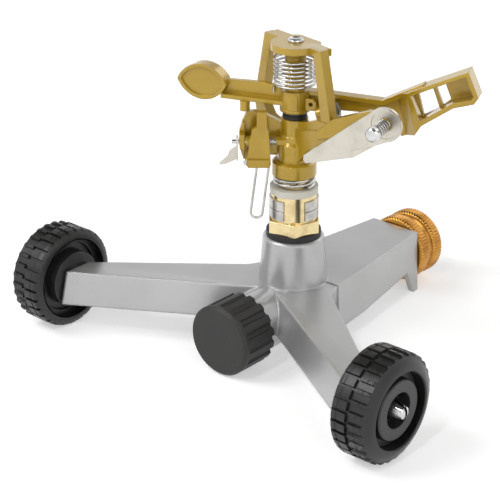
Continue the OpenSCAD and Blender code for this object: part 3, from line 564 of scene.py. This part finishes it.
def grid_mesh(name: str, points: np.ndarray, smooth: float) -> bpy.types.Mesh:
    """A closed mesh from a grid of points that wraps in both directions.

    Args:
        name: The mesh's name.
        points: Array of rows by columns by 3, in metres; the last row joins the first, and so do the columns.
        smooth: Edges sharper than this angle in degrees stay sharp.

    Returns:
        The mesh, with its faces pointing outwards.
    """
    rows, columns = points.shape[:2]
    i, j = np.meshgrid(np.arange(rows), np.arange(columns), indexing="ij")
    down, right = (i + 1) % rows, (j + 1) % columns
    near, far = i * columns, down * columns
    faces = np.stack([near + j, near + right, far + right, far + j], axis=-1)
    mesh = bpy.data.meshes.new(name)
    mesh.from_pydata(points.reshape(-1, 3).tolist(), [], faces.reshape(-1, 4).tolist())
    work = bmesh.new()
    work.from_mesh(mesh)
    bmesh.ops.remove_doubles(work, verts=work.verts, dist=1e-7)
    bmesh.ops.recalc_face_normals(work, faces=work.faces)
    shade(work, smooth)
    work.to_mesh(mesh)
    work.free()
    return mesh


def around_x(radius: np.ndarray, along: np.ndarray, angle: np.ndarray, centre: Sequence[float]) -> np.ndarray:
    """Points about a line along X.

    Args:
        radius: Each point's distance from the line, as angles by places along it, in metres.
        along: The places along the line.
        angle: The angles about it.
        centre: A point on the line.

    Returns:
        Array of angles by places by 3.
    """
    turn = angle[:, None]
    x = centre[0] + along[None, :] + 0 * radius
    return np.stack([x, centre[1] + radius * np.cos(turn), centre[2] + radius * np.sin(turn)], axis=-1)


def around_y(radius: np.ndarray, along: np.ndarray, angle: np.ndarray, centre: Sequence[float]) -> np.ndarray:
    """Points about a line along Y.

    Args:
        radius: Each point's distance from the line, as angles by places along it, in metres.
        along: The places along the line.
        angle: The angles about it.
        centre: A point on the line.

    Returns:
        Array of angles by places by 3.
    """
    turn = angle[:, None]
    y = centre[1] + along[None, :] + 0 * radius
    return np.stack([centre[0] + radius * np.cos(turn), y, centre[2] + radius * np.sin(turn)], axis=-1)


# ---------------------------------------------------------------- sub-assemblies


@dataclass
class Wheel:
    """A wheel: a lugged tyre on a hub drum, with its barbed axle pin and washer.

    Sizes are in mm. Each of the two rows has as many lugs as lugs says. lug_share is a lug's share of its pitch,
    rib the depth of the groove along a row, and gap the depth between lugs and between the rows.
    """

    side: Side
    lugs: int = 30
    lug_share: float = 0.70
    rib: float = 0.35
    gap: float = 1.25
    bore: float = 16.5
    lip: float = 2.6

    def tyre_mesh(self) -> bpy.types.Mesh:
        """The tyre as a grid of angle by cross-section.

        The cross-section runs round once. Where the angle falls between two lugs of a row, every point of that
        row drops to the depth gap. The outer row is turned by half a pitch from the inner one.

        Returns:
            The mesh.
        """
        low, high = (np.array(corner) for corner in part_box(f"{self.side.name.lower()}_tyre"))
        wall = (high[2] - low[2]) / 2 / MM
        half = (high[0] - low[0]) / 2 / MM
        depth = wall - self.bore
        # shares of the pitch: along a lug, then between it and the next, then up at the next one
        on_lug = [0.0, 0.03, 0.12, 0.30, 0.48, 0.60, self.lug_share]
        between = [self.lug_share + 0.05, 0.79, 0.85, 0.90, 0.94, 0.955]
        shares = np.array([*on_lug, *between, 0.985])
        sunk = np.tile([False] * len(on_lug) + [True] * len(between) + [False], self.lugs)
        angle = 2 * np.pi * (np.arange(self.lugs)[:, None] + shares[None, :]).ravel() / self.lugs
        # each point: distance from the middle towards the outside of the wheel, drop below the tread, row
        inner, outer, none = Row.INNER, Row.OUTER, Row.NONE
        section = [(-half, depth - self.lip, none), (-half, 5.0, none), (-half, 3.4, none),
                   (-half + 0.3, 2.2, none), (-half + 1.0, 0.9, inner), (-half + 1.6, 0.25, inner),
                   (-half + 2.4, 0.0, inner), (-5.9, 0.0, inner), (-5.6, self.rib, inner),
                   (-5.1, self.rib, inner), (-4.8, 0.0, inner),
                   (-1.1, 0.0, inner), (-0.8, self.gap, none), (0.0, self.gap, none),
                   (0.3, 0.0, outer), (3.5, 0.0, outer), (3.8, self.rib, outer), (4.3, self.rib, outer),
                   (4.6, 0.0, outer), (6.1, 0.1, outer), (6.7, 0.5, outer), (7.1, 1.2, outer),
                   (7.4, 2.0, none), (7.9, 2.7, none), (8.5, 3.6, none), (9.0, 4.6, none),
                   (half - 0.15, 5.6, none), (half, depth - 0.5, none), (half - 0.5, depth, none),
                   (-half + 4.4, depth, none), (-half + 4.0, depth - self.lip, none)]
        along, drop, row = (np.array(column) for column in zip(*section))
        lowered = np.where(row == inner, sunk[:, None],
                           (row == outer) & np.roll(sunk, len(shares) // 2)[:, None])
        radius = wall - np.where(lowered, np.maximum(drop, self.gap), drop + 0 * angle[:, None])
        points = around_x(radius * MM, self.side.value * along * MM, angle, (low + high) / 2)
        return grid_mesh(f"{self.side.name.lower()}_lugged_tyre", points, 28.0)

    def build(self, shop: Workshop) -> None:
        """Make the wheel's pieces."""
        name = self.side.name.lower()
        shop.register(f"{name}_lugged_tyre", self.tyre_mesh(), [f"{name}_tyre"])
        shop.refine(f"{name}_wheel_hub", Rounding(0.35, 2))
        shop.refine(f"{name}_axle_pin", THIN)
        shop.refine(f"{name}_axle_washer", CRISP)


@dataclass
class WaterPipe:
    """The inlet coupling with its knurled bands, and the fluted cap on the outlet.

    Sizes are in mm. The coupling has two bands of the width band with a waist of the depth waist between them.
    From its foot it holds the tailpiece's neck, the relief behind the thread, and the thread.
    """

    knurls: int = 62
    knurl_depth: float = 0.42
    knurl_power: float = 1.6
    columns: int = 6
    band: float = 6.8
    waist: float = 1.4
    neck_radius: float = 9.58
    relief_radius: float = 13.7
    thread_radius: float = 13.2
    foot: float = 2.8
    thread_start: float = 8.2

    def coupling_mesh(self) -> bpy.types.Mesh:
        """The coupling as a grid of angle by cross-section.

        On the two bands the radius falls in a valley between neighbouring ridges: the depth follows the cosine
        of the angle times the number of ridges, sharpened by a power.

        Returns:
            The mesh.
        """
        low, high = np.array(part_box("inlet_coupling"))
        rim = (high[2] - low[2]) / 2 / MM
        length = (high[1] - low[1]) / MM
        far = length - self.band
        # each point: distance from the foot, radius, whether it lies on a knurled band
        section = [(0.0, self.neck_radius, 0), (0.0, rim - 1.6, 0), (0.25, rim - 0.9, 0), (0.9, rim - 0.1, 1),
                   (1.5, rim, 1), (self.band - 1.4, rim, 1), (self.band - 0.8, rim - 0.1, 1),
                   (self.band, rim - 0.9, 0), (self.band + 0.2, rim - self.waist, 0),
                   (far - 0.2, rim - self.waist, 0), (far, rim - 0.9, 0), (far + 0.8, rim - 0.1, 1),
                   (far + 1.4, rim, 1), (length - 1.5, rim, 1), (length - 0.9, rim - 0.1, 1),
                   (length - 0.2, rim - 0.9, 0), (length, rim - 1.5, 0), (length, self.thread_radius, 0),
                   (self.thread_start, self.thread_radius, 0), (self.thread_start, self.relief_radius, 0),
                   (self.foot, self.relief_radius, 0), (self.foot, self.neck_radius, 0)]
        along, base, knurled = (np.array(column) for column in zip(*section))
        angle = np.linspace(0, 2 * np.pi, self.knurls * self.columns, endpoint=False)
        valley = (0.5 - 0.5 * np.cos(angle * self.knurls)) ** self.knurl_power
        radius = base - self.knurl_depth * valley[:, None] * knurled
        centre = ((low[0] + high[0]) / 2, low[1], (low[2] + high[2]) / 2)
        return grid_mesh("knurled_coupling", around_y(radius * MM, along * MM, angle, centre), 40.0)

    def build(self, shop: Workshop) -> None:
        """Make the pipe's pieces."""
        shop.register("knurled_coupling", self.coupling_mesh(), ["inlet_coupling"])
        shop.refine("outlet_cap", Rounding(0.45, 2, 0.6))
        shop.refine("inlet_tailpiece", Rounding(0.2, 1))
        for node in ("outlet_seal", "hose_washer"):
            shop.refine(node, CRISP)


@dataclass
class BaseCasting:
    """The three-legged base. Its edge is in mm."""

    edge: float = 0.6

    def build(self, shop: Workshop) -> None:
        """Make the base's piece."""
        shop.refine("base_casting", Rounding(self.edge, smooth=CASTING_SMOOTH))


@dataclass
class Riser:
    """The brass sleeve with its collars, washers, gasket and bearing spring. Its edges are in mm."""

    sleeve_edge: float = 0.35
    nipple_edge: float = 0.2

    def build(self, shop: Workshop) -> None:
        """Make the riser's pieces."""
        shop.refine("bearing_sleeve", Rounding(self.sleeve_edge, 2))
        shop.refine("bearing_nipple", Rounding(self.nipple_edge, 1))
        for node in ("base_gasket", "lower_trip_collar", "upper_trip_collar", "nipple_seal_washer",
                     "bearing_washer"):
            shop.refine(node, THIN)
        shop.refine("bearing_spring", WIRE)


@dataclass
class Head:
    """The sprinkler body with its bridge, nozzle and pin, and the impact arm with its spring.

    Edges are in mm.
    """

    casting_edge: float = 0.4
    washer_edge: float = 0.2

    def build(self, shop: Workshop) -> None:
        """Make the head's pieces."""
        for node in ("sprinkler_body", "impact_arm"):
            shop.refine(node, Rounding(self.casting_edge, smooth=CASTING_SMOOTH))
        shop.refine("nozzle_insert", THIN)
        for node in ("fulcrum_pin", "bracket_stud"):
            shop.refine(node, SLIM)
        for node in ("arm_seat_washer", "arm_slip_washer"):
            shop.refine(node, Rounding(self.washer_edge, 2))
        shop.spring("arm_spring", "arm_swing", "arm_seat_washer")


@dataclass
class Deflector:
    """The deflector plate with the diffuser screw and its spring. Edges are in mm."""

    plate_edge: float = 0.2
    screw_edge: float = 0.25
    washer_edge: float = 0.08

    def build(self, shop: Workshop) -> None:
        """Make the deflector's pieces."""
        shop.refine("deflector_plate", Rounding(self.plate_edge, 2))
        shop.refine("diffuser_screw", Rounding(self.screw_edge, 2))
        shop.refine("screw_washer", Rounding(self.washer_edge, 1))
        shop.spring("screw_spring", "screw_travel", "screw_washer")


@dataclass
class Trip:
    """The trip lever with its pin, hairpin wire, finger and spring. Its edge is in mm."""

    lever_edge: float = 0.4

    def build(self, shop: Workshop) -> None:
        """Make the trip's pieces."""
        shop.refine("trip_lever", Rounding(self.lever_edge, smooth=CASTING_SMOOTH))
        shop.refine("trip_finger", CRISP)
        shop.refine("trip_pin", SLIM)
        for node in ("trip_wire", "trip_spring"):
            shop.refine(node, WIRE)


@dataclass(frozen=True)
class Lamp:
    """A square area lamp: its place and side in metres, and its power in watts."""

    name: str
    where: Tuple[float, float, float]
    size: float
    watts: float


@dataclass
class Studio:
    """Camera, lights, floor and backdrop, in metres and degrees.

    The surround is white for directions whose Z is under low and dark above high. soft is its strength for the
    rays that don't come from the camera, a mirror or glass.
    """

    camera_at: Tuple[float, float, float] = (0.4259, -0.52645, 0.3482)
    azimuth: float = 41.055
    elevation: float = 24.44
    lens: float = 117.8
    aim: Tuple[float, float, float] = (0.0, 0.0, 0.07)
    lamps: Tuple[Lamp, ...] = (Lamp("key", (-0.7, -0.9, 1.3), 0.8, 12.0),
                               Lamp("fill", (1.2, -0.5, 0.8), 0.9, 4.0),
                               Lamp("back", (0.1, 1.3, 1.1), 0.9, 4.0),
                               Lamp("glint", (0.25, -1.2, 1.5), 0.16, 5.0))
    floor_half: float = 6.0
    floor_grey: float = 0.86
    floor_glow: float = 0.42
    floor_near: float = 0.35
    floor_far: float = 1.4
    low: float = 0.38
    high: float = 0.85
    dark: float = 0.10
    soft: float = 0.70

    def camera(self) -> None:
        """Set up the camera."""
        data = bpy.data.cameras.new("view")
        data.lens = self.lens
        data.sensor_width = 36.0
        data.clip_end = 50.0
        view = bpy.data.objects.new("view", data)
        view.location = self.camera_at
        view.rotation_euler = (math.radians(90 - self.elevation), 0.0, math.radians(self.azimuth))
        bpy.context.scene.collection.objects.link(view)
        bpy.context.scene.camera = view

    def light(self, lamp: Lamp) -> None:
        """Add an area lamp that faces the object.

        Args:
            lamp: The lamp.
        """
        data = bpy.data.lights.new(lamp.name, "AREA")
        data.shape = "SQUARE"
        data.size = lamp.size
        data.energy = lamp.watts
        obj = bpy.data.objects.new(lamp.name, data)
        obj.location = lamp.where
        gaze = np.array(self.aim) - np.array(lamp.where)
        tilt = math.acos(-gaze[2] / np.linalg.norm(gaze))
        turn = math.atan2(gaze[1], gaze[0]) - math.pi / 2
        obj.rotation_euler = (tilt, 0.0, turn)
        bpy.context.scene.collection.objects.link(obj)

    def floor(self) -> None:
        """A pale floor that reads as white away from the object's shadow.

        Its glow grows smoothly from floor_glow within floor_near of the middle to 1 beyond floor_far, where the
        lamps no longer reach.
        """
        g = Graph.material("pale_floor")
        side = self.floor_half
        corners = [(-side, -side, 0), (side, -side, 0), (side, side, 0), (-side, side, 0)]
        mesh = bpy.data.meshes.new("floor")
        mesh.from_pydata(corners, [], [(0, 1, 2, 3)])
        plain = g.get("ShaderNodeBsdfDiffuse", 0, None, {"Color": (*[self.floor_grey] * 3, 1.0)})
        away = g.get("ShaderNodeVectorMath", "Value", {"operation": "LENGTH"}, {0: g.place()})
        strength = self.floor_glow + (1.0 - self.floor_glow) * g.clamp(away, self.floor_near, self.floor_far)
        glow = g.get("ShaderNodeEmission", 0, None, {"Color": (1.0, 1.0, 1.0, 1.0), "Strength": strength})
        both = g.get("ShaderNodeAddShader", 0, None, {0: plain, 1: glow})
        chosen = g.get("ShaderNodeMixShader", 0, None, {0: g.seen(), 1: plain, 2: both})
        g.node("ShaderNodeOutputMaterial", None, {0: chosen})
        mesh.materials.append(g.owner)
        obj = bpy.data.objects.new("floor", mesh)
        bpy.context.scene.collection.objects.link(obj)

    def world(self) -> None:
        """A white surround that darkens towards the top.

        The brightness falls smoothly from 1 below the height low to dark above the height high, where height is
        the Z of the direction looked in. It is the same for camera, glossy and transmission rays; other rays meet
        it at the strength soft.
        """
        world = bpy.data.worlds.new("surround")
        bpy.context.scene.world = world
        g = Graph(world)
        direction = g.get("ShaderNodeTexCoord", "Generated")
        height = g.get("ShaderNodeSeparateXYZ", 2, None, {0: direction})
        tone = 1.0 - (1.0 - self.dark) * g.clamp(height, self.low, self.high)
        colour = g.get("ShaderNodeCombineXYZ", 0, None, {0: tone, 1: tone, 2: tone})
        soft = g.get("ShaderNodeBackground", 0, None, {0: colour, 1: self.soft})
        white = g.get("ShaderNodeBackground", 0, None, {0: colour, 1: 1.0})
        chosen = g.get("ShaderNodeMixShader", 0, None, {0: g.seen(), 1: soft, 2: white})
        g.node("ShaderNodeOutputWorld", None, {0: chosen})

    def build(self) -> None:
        """Set up the studio."""
        self.camera()
        for lamp in self.lamps:
            self.light(lamp)
        self.floor()
        self.world()
        bpy.context.scene.view_settings.view_transform = "Standard"


def main() -> None:
    """Set up the studio and build every sub-assembly."""
    logging.basicConfig(level=logging.INFO, format="%(name)s: %(message)s")
    Studio().build()
    shop = Workshop()
    assemblies: List[object] = [BaseCasting(), Wheel(Side.LEFT), Wheel(Side.RIGHT), WaterPipe(), Riser(),
                                Head(), Deflector(), Trip()]
    for assembly in assemblies:
        LOG.info("building %s", type(assembly).__name__)
        assembly.build(shop)


if __name__ == "__main__":
    main()
